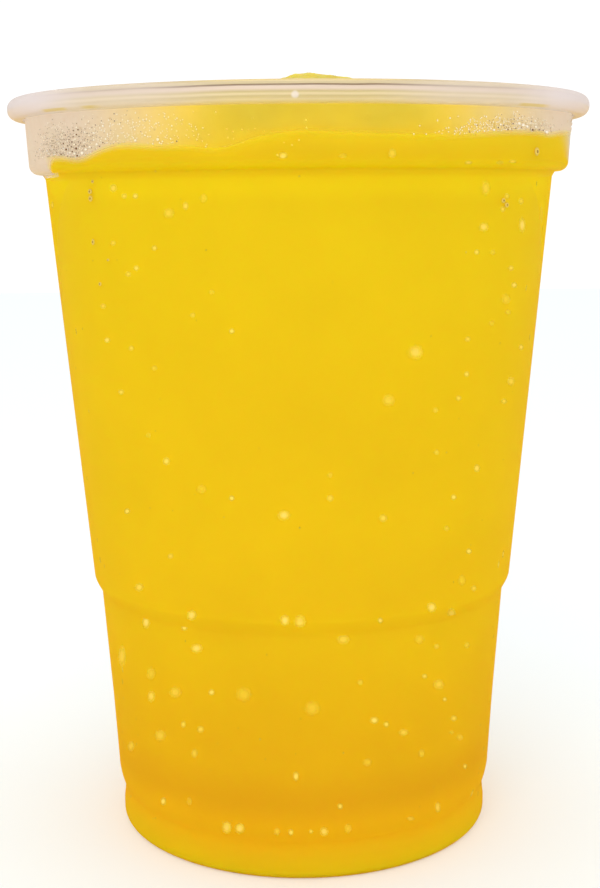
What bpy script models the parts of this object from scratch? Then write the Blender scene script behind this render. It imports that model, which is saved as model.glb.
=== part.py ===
"""A clear plastic cup filled with yellow slush, in metres, standing on z = 0.

The cup is one thin wall turned round the Z axis: a pushed-up base, a foot, a straight lower body, a small
step, a long tapered body, a wider collar and a rim that curls outwards. The slush fills it from the groove of
the foot to a heap that rises just over the rim, and it leaves the collar empty on the left.
"""

import math

import bmesh
import bpy
from mathutils import Vector, noise

MM = 0.001

# Sizes of the cup's outside, in millimetres.
HEIGHT = 122.15
RIM_RADIUS = 47.35
WALL = 0.6
BASE_PANEL_TOP = 4.2
GROOVE_INNER_RADIUS = 28.4
PANEL_ROUNDING = 1.0
GROOVE_ROUNDING = 0.8
FOOT_RADIUS = 31.72
FOOT_TOP = 2.6
NOTCH_RADIUS = 31.5
NOTCH_BOTTOM = 4.6
NOTCH_TOP = 6.1
SHOULDER_RISE = 4.4
SHOULDER_SHARES = ((0.53, 0.32), (0.83, 0.66))
LOWER_BODY_BOTTOM_RADIUS = 32.45
LOWER_BODY_BEND = 22.0
LOWER_BODY_BEND_RADIUS = 33.14
LOWER_BODY_TOP = 40.4
LOWER_BODY_TOP_RADIUS = 34.5
STEP_RISE = 3.4
STEP_SHARES = ((0.14, 0.22), (0.72, 0.68))
STEP_TOP_RADIUS = 35.75
BODY_TOP = 109.6
BODY_TOP_RADIUS = 41.66
COLLAR_BOTTOM = 110.3
COLLAR_BOTTOM_RADIUS = 44.22
COLLAR_ROUNDING = 1.2
COLLAR_TOP = 117.9
COLLAR_TOP_RADIUS = 44.58
RIM_BOTTOM = 118.9
RIM_INNER_ROUNDING = 1.2
RIM_OUTER_ROUNDING = 1.25
RIM_END_GAP = 0.45

# Sizes of the slush, in millimetres. A wave is a middle in degrees, a height and a half width in degrees.
GAP = 0.3
CONTACT_MEAN = 114.4
CONTACT_TILT = 2.0
LEFT_WAVES = ((-136, -0.7, 5), (-125, 0.8, 8), (-104, -0.9, 5))
FRONT_WAVES = ((-90, 0.8, 8), (-62, -0.5, 11), (-32, -0.4, 5))
BACK_WAVES = ((20, 0.4, 12), (60, -0.6, 14), (95, 0.5, 10), (130, -0.4, 12))
EMPTY_SIDE_RADIUS = 41.2
EMPTY_SIDE_TOP = 112.4
EMPTY_HALF_ANGLE = math.radians(24)
FILLED_HALF_ANGLE = math.radians(33)
HEAP_TOP = 126.8
HEAP_EXPONENTS = (2.0, 0.85)
HEAP_RINGS = 15
TIP_RADIUS = 6.5
TIP_HEIGHT = 1.1
TIP_CENTRE = (1.8, 0.0)
LUMP_SIZE = 11.0
LUMP_HEIGHT = 1.1
BUMP_SIZE = 5.5
BUMP_HEIGHT = 0.5
EDGE_FADE = 0.12
COLLAR_RINGS = 3

SEGMENTS = 52
ARC_STEP = math.radians(30)
SHARP_ANGLE = math.radians(50)
LEAST_MITRE = 0.5
TOLERANCE = 0.01

# Colours and finish.
CLEAR_COLOUR = (0.90, 0.86, 0.83)
CLEAR_ROUGHNESS = 0.12
CLEAR_ALPHA = 0.35
SLUSH_COLOUR = (0.86, 0.55, 0.012)
SLUSH_ROUGHNESS = 0.35


def clear_scene():
    for obj in list(bpy.data.objects):
        bpy.data.objects.remove(obj, do_unlink=True)


def material(name, colour, roughness, alpha=1.0):
    """A plain plastic or frozen finish."""
    made = bpy.data.materials.new(name)
    made.use_nodes = True
    shader = made.node_tree.nodes["Principled BSDF"]
    shader.inputs["Base Color"].default_value = (*colour, 1.0)
    shader.inputs["Roughness"].default_value = roughness
    shader.inputs["Metallic"].default_value = 0.0
    shader.inputs["Alpha"].default_value = alpha
    return made


def arc(centre_r, centre_z, radius, start_deg, end_deg):
    """Points (r, z) of an arc, its two ends included."""
    start, end = math.radians(start_deg), math.radians(end_deg)
    steps = max(2, round(abs(end - start) / ARC_STEP))
    angles = [start + (end - start) * i / steps for i in range(steps + 1)]
    return [(centre_r + radius * math.cos(a), centre_z + radius * math.sin(a)) for a in angles]


def base_line():
    """Middle of the wall from the base's centre to the foot's side: the panel, the groove and the foot."""
    half = WALL / 2
    panel = BASE_PANEL_TOP - half
    foot = FOOT_RADIUS - half
    points = [(0.0, panel)]
    points += arc(GROOVE_INNER_RADIUS - PANEL_ROUNDING, panel - PANEL_ROUNDING, PANEL_ROUNDING, 90, 0)
    points += arc(GROOVE_INNER_RADIUS + GROOVE_ROUNDING, half + GROOVE_ROUNDING, GROOVE_ROUNDING, 180, 270)
    points += arc(foot - PANEL_ROUNDING, half + PANEL_ROUNDING, PANEL_ROUNDING, -90, 0)
    points += [(foot, FOOT_TOP)]
    return points


def eased(start, end, shares):
    """Points between two points (r, z) of a soft shoulder or step, each a share (across, up) of the way."""
    run, rise = end[0] - start[0], end[1] - start[1]
    return [(start[0] + run * across, start[1] + rise * up) for across, up in shares]


def body_line():
    """Middle of the wall from the notch over the foot to the top of the tapered body."""
    half = WALL / 2
    notch = (NOTCH_RADIUS - half, NOTCH_TOP)
    low = (LOWER_BODY_BOTTOM_RADIUS - half, NOTCH_TOP + SHOULDER_RISE)
    below_step = (LOWER_BODY_TOP_RADIUS - half, LOWER_BODY_TOP)
    above_step = (STEP_TOP_RADIUS - half, LOWER_BODY_TOP + STEP_RISE)
    points = [(NOTCH_RADIUS - half, NOTCH_BOTTOM), notch]
    points += eased(notch, low, SHOULDER_SHARES) + [low]
    points += [(LOWER_BODY_BEND_RADIUS - half, LOWER_BODY_BEND), below_step]
    points += eased(below_step, above_step, STEP_SHARES) + [above_step]
    points += [(BODY_TOP_RADIUS - half, BODY_TOP)]
    return points


def collar_line():
    """Middle of the wall round the collar's lower corner and up to where the rim starts."""
    half = WALL / 2
    corner = COLLAR_BOTTOM_RADIUS - half - COLLAR_ROUNDING
    ledge = COLLAR_BOTTOM + half
    points = [(BODY_TOP_RADIUS + half, ledge)]
    points += arc(corner, ledge + COLLAR_ROUNDING, COLLAR_ROUNDING, -90, 0)
    points += [(COLLAR_TOP_RADIUS - half, COLLAR_TOP)]
    return points


def rim_line():
    """Middle of the wall over the top of the rim, down its outside and in under it."""
    half = WALL / 2
    top, outside = HEIGHT - half, RIM_RADIUS - half
    inside, bottom = COLLAR_TOP_RADIUS - half, RIM_BOTTOM + half
    points = arc(inside + RIM_INNER_ROUNDING, top - RIM_INNER_ROUNDING, RIM_INNER_ROUNDING, 180, 90)
    points += arc(outside - RIM_OUTER_ROUNDING, top - RIM_OUTER_ROUNDING, RIM_OUTER_ROUNDING, 90, 0)
    points += arc(outside - RIM_OUTER_ROUNDING, bottom + RIM_OUTER_ROUNDING, RIM_OUTER_ROUNDING, 0, -90)
    points += [(COLLAR_TOP_RADIUS + RIM_END_GAP, bottom)]
    return points


def beside(points, distance):
    """The line that runs at this distance to the left of a line of points (r, z)."""
    moved = []
    for i, (r, z) in enumerate(points):
        before = Vector(points[max(i - 1, 0)])
        after = Vector(points[min(i + 1, len(points) - 1)])
        here = Vector((r, z))
        first = (here - before).normalized() if i else (after - here).normalized()
        second = (after - here).normalized() if i < len(points) - 1 else first
        along = (first + second).normalized()
        normal = Vector((-along.y, along.x))
        reach = distance / max(normal.dot(Vector((-first.y, first.x))), LEAST_MITRE)
        moved.append((max(r + normal.x * reach, 0.0) if i else 0.0, z + normal.y * reach))
    return moved


def turned(name, section):
    """An object whose mesh is the section (r, z) turned once round the Z axis."""
    mesh = bmesh.new()
    ring = [mesh.verts.new((r * MM, 0.0, z * MM)) for r, z in section]
    edges = [mesh.edges.new(pair) for pair in zip(ring, ring[1:])]
    bmesh.ops.spin(
        mesh,
        geom=ring + edges,
        cent=(0, 0, 0),
        axis=(0, 0, 1),
        angle=math.tau,
        steps=SEGMENTS,
        use_merge=True,
        use_duplicate=False,
    )
    bmesh.ops.remove_doubles(mesh, verts=mesh.verts, dist=TOLERANCE * MM)
    bmesh.ops.recalc_face_normals(mesh, faces=mesh.faces)
    data = bpy.data.meshes.new(name)
    mesh.to_mesh(data)
    mesh.free()
    data.shade_smooth()
    data.set_sharp_from_angle(angle=SHARP_ANGLE)
    obj = bpy.data.objects.new(name, data)
    bpy.context.scene.collection.objects.link(obj)
    return obj


def make_cup():
    """The cup's wall: its outer side from the base's centre to the rim's end, and its inner side back."""
    middle = base_line() + body_line() + collar_line() + rim_line()
    outer = beside(middle, -WALL / 2)
    inner = beside(middle, WALL / 2)
    cup = turned("cup", outer + inner[::-1])
    cup.data.materials.append(material("clear_plastic", CLEAR_COLOUR, CLEAR_ROUGHNESS, CLEAR_ALPHA))
    return cup


def smooth_step(value):
    value = min(max(value, 0.0), 1.0)
    return value * value * (3 - 2 * value)


def filled(angle):
    """1 where the slush reaches the collar's wall, and 0 on the left, where the collar is empty."""
    from_left = abs(math.pi - (angle % math.tau))
    return smooth_step((from_left - EMPTY_HALF_ANGLE) / (FILLED_HALF_ANGLE - EMPTY_HALF_ANGLE))


def wave(angle, middle, size, width):
    """A soft swell or dip round a middle angle, its angle and its half width in degrees."""
    away = (math.degrees(angle) - middle + 180) % 360 - 180
    return size * math.exp(-((away / width) ** 2))


def contact_height(angle):
    """Height of the slush at the wall, which climbs from left to right in uneven waves."""
    height = CONTACT_MEAN + CONTACT_TILT * math.cos(angle)
    height += sum(wave(angle, *values) for values in LEFT_WAVES + FRONT_WAVES + BACK_WAVES)
    share = filled(angle)
    return share * height + (1 - share) * EMPTY_SIDE_TOP


def contact_radius(angle, wall_radius):
    """How far out the slush reaches where the wall would let it reach wall_radius."""
    share = filled(angle)
    return share * wall_radius + (1 - share) * min(EMPTY_SIDE_RADIUS, wall_radius)


def collar_reach(height):
    """Radius that the slush has where it touches the collar at this height."""
    share = (height - COLLAR_BOTTOM) / (COLLAR_TOP - COLLAR_BOTTOM)
    outside = COLLAR_BOTTOM_RADIUS + share * (COLLAR_TOP_RADIUS - COLLAR_BOTTOM_RADIUS)
    return outside - WALL - GAP


def heap_height(x, y, across, angle):
    """Height of the heap at a point, across being its share of the way from the axis to the edge."""
    edge = contact_height(angle)
    rise, steepness = HEAP_EXPONENTS
    height = edge + (HEAP_TOP - TIP_HEIGHT - edge) * (1 - across**rise) ** steepness
    tip = math.hypot(x - TIP_CENTRE[0], y - TIP_CENTRE[1]) / TIP_RADIUS
    at_tip = math.exp(-tip * tip)
    fade = smooth_step((1 - across) / EDGE_FADE) * (1 - at_tip)
    lumps = LUMP_HEIGHT * noise.noise(Vector((x, y, 0.0)) / LUMP_SIZE)
    bumps = BUMP_HEIGHT * noise.noise(Vector((y, x, 0.0)) / BUMP_SIZE)
    return height + TIP_HEIGHT * at_tip + fade * (lumps + bumps)


def slush_section():
    """The slush's outline before its top is shaped: along the wall, up the collar, and in over the top."""
    wall = base_line() + body_line() + collar_line()
    line = beside(wall, WALL / 2 + GAP)[:-1]
    reach, corner = line[-1]
    line += [(reach, corner + (i + 1) / COLLAR_RINGS) for i in range(COLLAR_RINGS)]
    line += [(reach * (1 - (i + 1) / HEAP_RINGS), HEIGHT) for i in range(HEAP_RINGS)]
    return line, reach, corner


def shaped(point, reach, corner):
    """Where a point of the turned outline, in millimetres, lies on the real slush.

    Points over the body's top and up to the corner only move in where the collar is empty. Those from the
    corner to 1 above it are spread up the wall as far as the slush touches it, and those at the top make the
    heap.
    """
    radius, angle = math.hypot(point.x, point.y), math.atan2(point.y, point.x)
    edge = contact_height(angle)
    height = point.z
    if height >= HEIGHT - TOLERANCE:
        across = radius / reach
        radius = across * contact_radius(angle, collar_reach(edge))
        height = heap_height(radius * math.cos(angle), radius * math.sin(angle), across, angle)
    elif height > corner + TOLERANCE:
        height = corner + (height - corner) * (edge - corner)
        radius = contact_radius(angle, collar_reach(height))
    else:
        radius = contact_radius(angle, radius)
    return Vector((radius * math.cos(angle), radius * math.sin(angle), height))


def make_slush():
    """The slush, turned to the inside of the cup and then shaped at its top."""
    line, reach, corner = slush_section()
    slush = turned("slush", line)
    for vertex in slush.data.vertices:
        point = vertex.co / MM
        if point.z > BODY_TOP + TOLERANCE:
            vertex.co = shaped(point, reach, corner) * MM
    slush.data.materials.append(material("slush", SLUSH_COLOUR, SLUSH_ROUGHNESS))
    return slush


def main():
    clear_scene()
    make_cup()
    make_slush()


main()
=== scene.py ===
# %% [markdown]
# A clear plastic cup filled with yellow slush, seen from the front and a little above.
# The fixed model holds the sizes: one thin cup and one solid of slush. This lesson dresses it. The cup
# becomes a smooth clear wall with a thick rolled rim, the slush gets its grain, its bubbles and its crumbs of
# ice, and the collar gets its mist and drops.
# Everything is in metres, and the cup stands on z = 0, so each piece is made straight where it belongs.

# %% Load the fixed model
import math

import bmesh
import bpy
import numpy as np
from mathutils import Matrix, Vector, noise


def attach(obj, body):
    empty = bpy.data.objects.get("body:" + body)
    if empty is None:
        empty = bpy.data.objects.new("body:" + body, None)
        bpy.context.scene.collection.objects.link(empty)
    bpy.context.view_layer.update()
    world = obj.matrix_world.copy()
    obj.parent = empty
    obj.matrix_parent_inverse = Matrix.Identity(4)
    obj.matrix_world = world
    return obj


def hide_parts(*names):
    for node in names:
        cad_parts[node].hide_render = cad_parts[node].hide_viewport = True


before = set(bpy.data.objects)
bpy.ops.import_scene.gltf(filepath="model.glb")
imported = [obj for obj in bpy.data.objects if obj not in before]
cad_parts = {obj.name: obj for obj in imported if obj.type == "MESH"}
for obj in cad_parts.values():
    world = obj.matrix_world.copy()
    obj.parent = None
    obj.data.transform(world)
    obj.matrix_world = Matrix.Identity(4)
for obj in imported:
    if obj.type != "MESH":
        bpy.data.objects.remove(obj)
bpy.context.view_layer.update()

MM = 0.001
print("nodes of the fixed model:", sorted(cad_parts))

# %% [markdown]
# The camera comes first, because every place read off the photo depends on it. It stands 250 mm in front of
# the axis and looks down by 9.4 degrees, from a little under the height of the rim, so the near edge of the
# rim hides the far one. The lens follows from the focal length in pixels of a frame 600 wide and 888 high.

# %% Camera
FRAME_WIDTH, FRAME_HEIGHT = 600, 888
FOCAL_PIXELS = 1475.0
CAMERA_PLACE = Vector((0.0, -0.250, 0.106))
LOOK_DOWN = math.radians(9.4)
ROLL = -0.0082
SENSOR = 36.0
SHIFT_PIXELS = 1.0

camera_data = bpy.data.cameras.new("camera")
camera_data.sensor_width = SENSOR
camera_data.lens = FOCAL_PIXELS / FRAME_HEIGHT * SENSOR
camera_data.shift_x = -SHIFT_PIXELS / FRAME_HEIGHT
camera = bpy.data.objects.new("camera", camera_data)
camera.location = CAMERA_PLACE
tilt = Matrix.Rotation(math.pi / 2 - LOOK_DOWN, 4, "X") @ Matrix.Rotation(ROLL, 4, "Z")
camera.rotation_euler = tilt.to_euler()
bpy.context.scene.collection.objects.link(camera)
bpy.context.scene.camera = camera
print("lens", round(camera_data.lens, 2), "mm")


# %% Helpers: what the camera sees at a pixel
def sight(x, y):
    """The direction from the camera through a pixel of the 600 by 888 frame."""
    right = (x - FRAME_WIDTH / 2 - SHIFT_PIXELS) / FOCAL_PIXELS
    up = (FRAME_HEIGHT / 2 - y) / FOCAL_PIXELS
    return (tilt.to_3x3() @ Vector((right, up, -1.0))).normalized()


def seen_at(piece, x, y):
    """The first point of a piece behind a pixel, its normal, and the metres that one pixel spans there."""
    hit, point, normal, face = piece.ray_cast(CAMERA_PLACE, sight(x, y))
    return point, normal, (point - CAMERA_PLACE).length / FOCAL_PIXELS


print("the middle of the frame looks along", [round(c, 3) for c in sight(300, 444)])

# %% [markdown]
# Node trees are built in code all through the lesson, so some small helpers come next. Each adds one node and
# takes either plain values or the sockets that feed it, and hands back the node's result. A material then
# reads from top to bottom like a short recipe.


# %% Helpers for node trees
def add_node(tree, kind, inputs=None, **settings):
    """A new node in a tree. Each input is given as a plain value or as the socket that feeds it."""
    node = tree.nodes.new(kind)
    for setting, value in settings.items():
        setattr(node, setting, value)
    for name, value in (inputs or {}).items():
        if isinstance(value, bpy.types.NodeSocket):
            tree.links.new(value, node.inputs[name])
        else:
            node.inputs[name].default_value = value
    return node


def maths(tree, operation, first, second=0.0, clamped=False):
    """The result of one sum on two values."""
    node = add_node(tree, "ShaderNodeMath", {0: first, 1: second}, operation=operation, use_clamp=clamped)
    return node.outputs[0]


def times(tree, first, second):
    """The product of two values."""
    return maths(tree, "MULTIPLY", first, second)


def ranged(tree, value, between, gives=(0.0, 1.0)):
    """A value eased from one range to another, and held at the second range's ends."""
    inputs = {"Value": value, "From Min": between[0], "From Max": between[1]}
    inputs |= {"To Min": gives[0], "To Max": gives[1]}
    return add_node(tree, "ShaderNodeMapRange", inputs, interpolation_type="SMOOTHSTEP").outputs["Result"]


def mixed(tree, share, first, second, kind="RGBA", how="MIX"):
    """A mix of two colours, or of two plain values when kind is FLOAT."""
    settings = {"data_type": kind} if kind == "FLOAT" else {"data_type": kind, "blend_type": how}
    node = add_node(tree, "ShaderNodeMix", {"Factor": share, "A": first, "B": second}, **settings)
    return node.outputs["Result"]


def tinted(tree, colour, tint):
    """A colour multiplied by another."""
    return mixed(tree, 1.0, colour, tint, how="MULTIPLY")


print("helpers for values:", [f.__name__ for f in (add_node, maths, times, ranged, mixed, tinted)])

# %% Helpers for places and patterns
RELIEF_DEPTH = 0.0004
MOST_OF_NOISE = (0.3, 0.7)


def object_place(tree):
    """The socket of Object coordinates, which are the real metres on the object."""
    return add_node(tree, "ShaderNodeTexCoord").outputs["Object"]


def split_up(tree, vector):
    """The sockets X, Y and Z of a vector."""
    return add_node(tree, "ShaderNodeSeparateXYZ", {0: vector}).outputs


def from_axis(tree, operation):
    """How far a place lies from the cup's axis (LENGTH), or which way (NORMALIZE)."""
    inputs = {0: object_place(tree), 1: (1.0, 1.0, 0.0)}
    level = add_node(tree, "ShaderNodeVectorMath", inputs, operation="MULTIPLY")
    node = add_node(tree, "ShaderNodeVectorMath", {0: level.outputs["Vector"]}, operation=operation)
    return node.outputs["Value" if operation == "LENGTH" else "Vector"]


def pattern_of(tree, size, detail=2.0):
    """The socket of a soft noise whose features have this size in metres."""
    inputs = {"Vector": object_place(tree), "Scale": 1 / size, "Detail": detail}
    return add_node(tree, "ShaderNodeTexNoise", inputs).outputs["Fac"]


def relief(tree, height, strength):
    """The normal of a surface whose height varies by RELIEF_DEPTH."""
    inputs = {"Height": height, "Strength": strength, "Distance": RELIEF_DEPTH}
    return add_node(tree, "ShaderNodeBump", inputs).outputs["Normal"]


def ramp(tree, share, stops, interpolation="LINEAR"):
    """A colour ramp node over stops of (share, red, green, blue, alpha)."""
    node = add_node(tree, "ShaderNodeValToRGB", {"Fac": share})
    node.color_ramp.interpolation = interpolation
    elements = node.color_ramp.elements
    for number, (position, *colour) in enumerate(stops):
        stop = elements[number] if number < 2 else elements.new(position)
        stop.position, stop.color = position, colour
    return node


print("helpers for patterns:", [f.__name__ for f in (split_up, from_axis, pattern_of, relief, ramp)])

# %% [markdown]
# The light is that of a white studio: pale and even from all sides, with one wide soft lamp above and in
# front. Glossy plastic in such a room would mirror the white walls and wash out the yellow behind it.
# Photographers hang dark cloths in front of the table for that, and leave the back open, so that edges still
# turn pale. Here the room does the same with a Light Path node: a ray that the plastic mirrors meets a dim
# front, a bright back and a bright ceiling. Below the table's height the mirrored room glows yellow like the
# paper, so the mirrored paper has no edge, and higher up it is cream. A ray that the camera sends through the
# plastic meets the white room with a dim patch in front, which drops and edges pick up as thin dark lines.
# Light on its way to the slush never meets the patch.


# %% Room
def ray_kinds(tree):
    """Two sockets: 1 for a ray that a glossy surface sent back, 1 for a sight ray that passed through one."""
    path = add_node(tree, "ShaderNodeLightPath")
    passed = path.outputs["Is Transmission Ray"]
    returned = maths(tree, "SUBTRACT", path.outputs["Is Glossy Ray"], passed, clamped=True)
    unscattered = maths(tree, "LESS_THAN", path.outputs["Diffuse Depth"], 0.5)
    return returned, times(tree, passed, unscattered)


WHITE = (1.0, 1.0, 1.0, 1.0)
ROOM_LIGHT = 1.06
MIRRORED_FRONT, MIRRORED_BACK, MIRRORED_CEILING = 0.01, 0.75, 0.8
MIRRORED_LOW, MIRRORED_HIGH = (0.88, 0.53, 0.02, 1.0), (0.92, 0.84, 0.76, 1.0)
LOW_TO_HIGH = (0.0, 0.035)
BACK_FROM_TO = (-0.1, 0.7)
CEILING_FROM_TO = (math.sin(math.radians(35)), math.sin(math.radians(65)))
DIM_PATCH = 0.08
PATCH_FROM_TO = (math.cos(math.radians(50)), math.cos(math.radians(30)))

scene = bpy.context.scene
scene.view_settings.view_transform = "Standard"
scene.view_settings.look = "None"
world = bpy.data.worlds.new("studio")
scene.world = world
world.use_nodes = True
world.node_tree.nodes.clear()
tree = world.node_tree
mirrored, passed = ray_kinds(tree)
toward = split_up(tree, add_node(tree, "ShaderNodeTexCoord").outputs["Generated"])
back = ranged(tree, toward["Y"], BACK_FROM_TO, (MIRRORED_FRONT, MIRRORED_BACK))
ceiling = ranged(tree, toward["Z"], CEILING_FROM_TO, (0.0, MIRRORED_CEILING))
patch = ranged(tree, times(tree, toward["Y"], -1.0), PATCH_FROM_TO, (ROOM_LIGHT, DIM_PATCH))
seen_through = mixed(tree, passed, ROOM_LIGHT, patch, kind="FLOAT")
high = ranged(tree, toward["Z"], LOW_TO_HIGH)
returned = mixed(tree, high, 1.0, maths(tree, "MAXIMUM", back, ceiling), kind="FLOAT")
strength = mixed(tree, mirrored, seen_through, returned, kind="FLOAT")
colour = mixed(tree, mirrored, WHITE, mixed(tree, high, MIRRORED_LOW, MIRRORED_HIGH))
background = add_node(tree, "ShaderNodeBackground", {"Color": colour, "Strength": strength})
add_node(tree, "ShaderNodeOutputWorld", {"Surface": background.outputs[0]})
print("room light", ROOM_LIGHT)

# %% Lamp
LAMP_SIZE = 0.7
LAMP_WATTS = 1.87
LAMP_PLACE = Vector((-0.12, -0.80, 0.85))
LAMP_AIM = Vector((0.0, 0.0, 0.07))

lamp_data = bpy.data.lights.new("soft_lamp", "AREA")
lamp_data.shape = "DISK"
lamp_data.size = LAMP_SIZE
lamp_data.energy = LAMP_WATTS
lamp = bpy.data.objects.new("soft_lamp", lamp_data)
lamp.location = LAMP_PLACE
lamp.rotation_euler = (LAMP_AIM - LAMP_PLACE).to_track_quat("-Z", "Y").to_euler()
scene.collection.objects.link(lamp)
print("lamp", LAMP_WATTS, "W")

# %% [markdown]
# A white sheet of paper carries the cup. It is one large plane whose corners are rounded, and the room behind
# it is as white as the paper, so no line shows where they meet. Paper round a yellow drink glows yellow, and
# the sides of the cup mirror that glow, so for mirrored rays the paper is painted the drink's colour, a
# painted glow.

# %% Floor
FLOOR_SIZE = 3.0
FLOOR_ROUNDING = 0.5
PAPER = (0.92, 0.965, 0.995, 1.0)
# painted glow: the colour the paper takes for mirrored rays
PAPER_PAINTED_GLOW_IN_MIRROR = (0.80, 0.44, 0.012, 1.0)

bpy.ops.object.select_all(action="DESELECT")
bpy.ops.mesh.primitive_plane_add(size=FLOOR_SIZE, location=(0, 0, 0), enter_editmode=True)
bpy.ops.mesh.bevel(offset=FLOOR_ROUNDING, segments=8, affect="VERTICES")
bpy.ops.object.mode_set(mode="OBJECT")
floor = bpy.context.object
floor.name = "paper_floor"
print("floor corners", len(floor.data.vertices))


# %% Finish: paper
def new_material(name):
    """A material with nothing but an output, and its node tree."""
    made = bpy.data.materials.new(name)
    made.use_nodes = True
    made.node_tree.nodes.clear()
    add_node(made.node_tree, "ShaderNodeOutputMaterial")
    return made, made.node_tree


def principled(tree, colour, inputs):
    """A Principled shader with a colour and other inputs."""
    return add_node(tree, "ShaderNodeBsdfPrincipled", {"Base Color": colour} | inputs)


def give(piece, finish, shader):
    """Sends the shader to the finish's output, and makes the finish the piece's only material."""
    tree = finish.node_tree
    tree.links.new(shader.outputs[0], tree.nodes["Material Output"].inputs["Surface"])
    piece.data.materials.clear()
    piece.data.materials.append(finish)


paper, tree = new_material("white_paper")
tone = mixed(tree, ray_kinds(tree)[0], PAPER, PAPER_PAINTED_GLOW_IN_MIRROR)
give(floor, paper, principled(tree, tone, {"Roughness": 0.9, "Specular IOR Level": 0.1}))
print("materials so far:", [m.name for m in bpy.data.materials])

# %% [markdown]
# Frozen syrup is never one colour. Two patterns repeat on all of it: slow cloudy patches, where the ice is a
# little thicker, and a fine grain of crushed ice. Because the core and the crumbs both need them, they are
# made once as a node group that puts out two masks, and each material mixes them in its own way.

# %% Group: frozen grain
grain_group = bpy.data.node_groups.new("frozen_grain", "ShaderNodeTree")
for label, value in (("Patch Size", 0.014), ("Grain Size", 0.0012)):
    socket = grain_group.interface.new_socket(label, in_out="INPUT", socket_type="NodeSocketFloat")
    socket.default_value = value
for label in ("Patches", "Grain"):
    grain_group.interface.new_socket(label, in_out="OUTPUT", socket_type="NodeSocketFloat")
sizes = add_node(grain_group, "NodeGroupInput")
masks = add_node(grain_group, "NodeGroupOutput")
place = object_place(grain_group)
for size, mask, detail in (("Patch Size", "Patches", 2.0), ("Grain Size", "Grain", 3.0)):
    per_metre = maths(grain_group, "DIVIDE", 1.0, sizes.outputs[size])
    inputs = {"Vector": place, "Scale": per_metre, "Detail": detail, "Roughness": 0.55}
    pattern = add_node(grain_group, "ShaderNodeTexNoise", inputs)
    grain_group.links.new(pattern.outputs["Fac"], masks.inputs[mask])
print("group", grain_group.name, "made")

# %% [markdown]
# The cup is thermoformed: one sheet of clear plastic with a foot, a step, a stacking collar and a rolled rim.
# Its shape is a line turned round the axis, so the lesson first writes that line down, as radius and height
# in millimetres along the middle of the wall. Rounded corners are arcs, and the step is an eased curve. A
# long straight stretch gets a few points near both its ends, which keep the smooth shading of its corners
# there.

# %% The wall's line: helpers
ARC_STEP = math.radians(12)
LONG_STRETCH, NEAR_END, FAR_APART = 2.0, 0.5, 6.0


def arc(centre, radius, start, end):
    """Points of an arc round a centre (radius, height), from one angle in degrees to another."""
    start, end = math.radians(start), math.radians(end)
    steps = max(2, round(abs(end - start) / ARC_STEP))
    angles = [start + (end - start) * i / steps for i in range(steps + 1)]
    return [(centre[0] + radius * math.cos(a), centre[1] + radius * math.sin(a)) for a in angles]


def smooth_step(value):
    value = min(max(value, 0.0), 1.0)
    return value * value * (3 - 2 * value)


def eased_line(start, end, across_at, steps=8):
    """Points from start to end, where across_at says how far out the line is at each share of its rise."""
    (r0, z0), (r1, z1) = start, end
    shares = [i / steps for i in range(steps + 1)]
    return [(r0 + (r1 - r0) * across_at(share), z0 + (z1 - z0) * share) for share in shares]


def supported(line):
    """The same line with points added in its long straight stretches, two of them close to the ends."""
    points = [line[0]]
    for (r0, z0), (r1, z1) in zip(line, line[1:]):
        length = math.hypot(r1 - r0, z1 - z0)
        if length > LONG_STRETCH:
            near = NEAR_END / length
            count = max(1, round(length / FAR_APART))
            shares = [near + (1 - 2 * near) * i / count for i in range(count + 1)]
            points += [(r0 + (r1 - r0) * s, z0 + (z1 - z0) * s) for s in shares]
        points.append((r1, z1))
    return points


print("arcs turn", round(math.degrees(ARC_STEP)), "degrees a step")

# %% The wall's line: base and body
FOOT_RADIUS, FOOT_TOP = 31.42, 2.6
PANEL_TOP, PANEL_ROUNDING = 3.9, 1.0
GROOVE_RADIUS, GROOVE_ROUNDING = 28.4, 0.8
HALF_WALL = 0.3
NOTCH_RADIUS, NOTCH_BOTTOM, NOTCH_TOP = 31.2, 4.6, 6.1
SHOULDER_RADIUS, SHOULDER_TOP = 32.15, 10.5
BEND_RADIUS, BEND_HEIGHT = 32.84, 22.0
STEP_BOTTOM, STEP_TOP = (34.2, 40.4), (35.45, 43.8)
BODY_TOP_RADIUS, BODY_TOP = 41.36, 109.6

base_line = [(0.6, PANEL_TOP)]
base_line += arc((GROOVE_RADIUS - PANEL_ROUNDING, PANEL_TOP - PANEL_ROUNDING), PANEL_ROUNDING, 90, 0)
base_line += arc((GROOVE_RADIUS + GROOVE_ROUNDING, HALF_WALL + GROOVE_ROUNDING), GROOVE_ROUNDING, 180, 270)
base_line += arc((FOOT_RADIUS - PANEL_ROUNDING, HALF_WALL + PANEL_ROUNDING), PANEL_ROUNDING, -90, 0)
base_line += [(FOOT_RADIUS, FOOT_TOP)]

body_line = [(NOTCH_RADIUS, NOTCH_BOTTOM)]
body_line += eased_line(
    (NOTCH_RADIUS, NOTCH_TOP), (SHOULDER_RADIUS, SHOULDER_TOP), lambda share: 1 - (1 - share) ** 1.9
)
body_line += [(BEND_RADIUS, BEND_HEIGHT)]
body_line += eased_line(STEP_BOTTOM, STEP_TOP, smooth_step)
body_line += [(BODY_TOP_RADIUS, BODY_TOP)]
side_line = supported(base_line + body_line)
print("base and body have", len(side_line), "points")

# %% The wall's line: collar and rim
COLLAR_BOTTOM, COLLAR_ROUNDING = 110.6, 1.2
COLLAR_RADII, COLLAR_TOP = (43.92, 44.28), 117.9
RIM_TOP, RIM_RADIUS, RIM_UNDERSIDE = 121.85, 47.05, 119.2
RIM_INNER_ROUNDING, RIM_OUTER_ROUNDING = 1.2, 1.2
RIM_EDGE_RADIUS = 45.03

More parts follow.
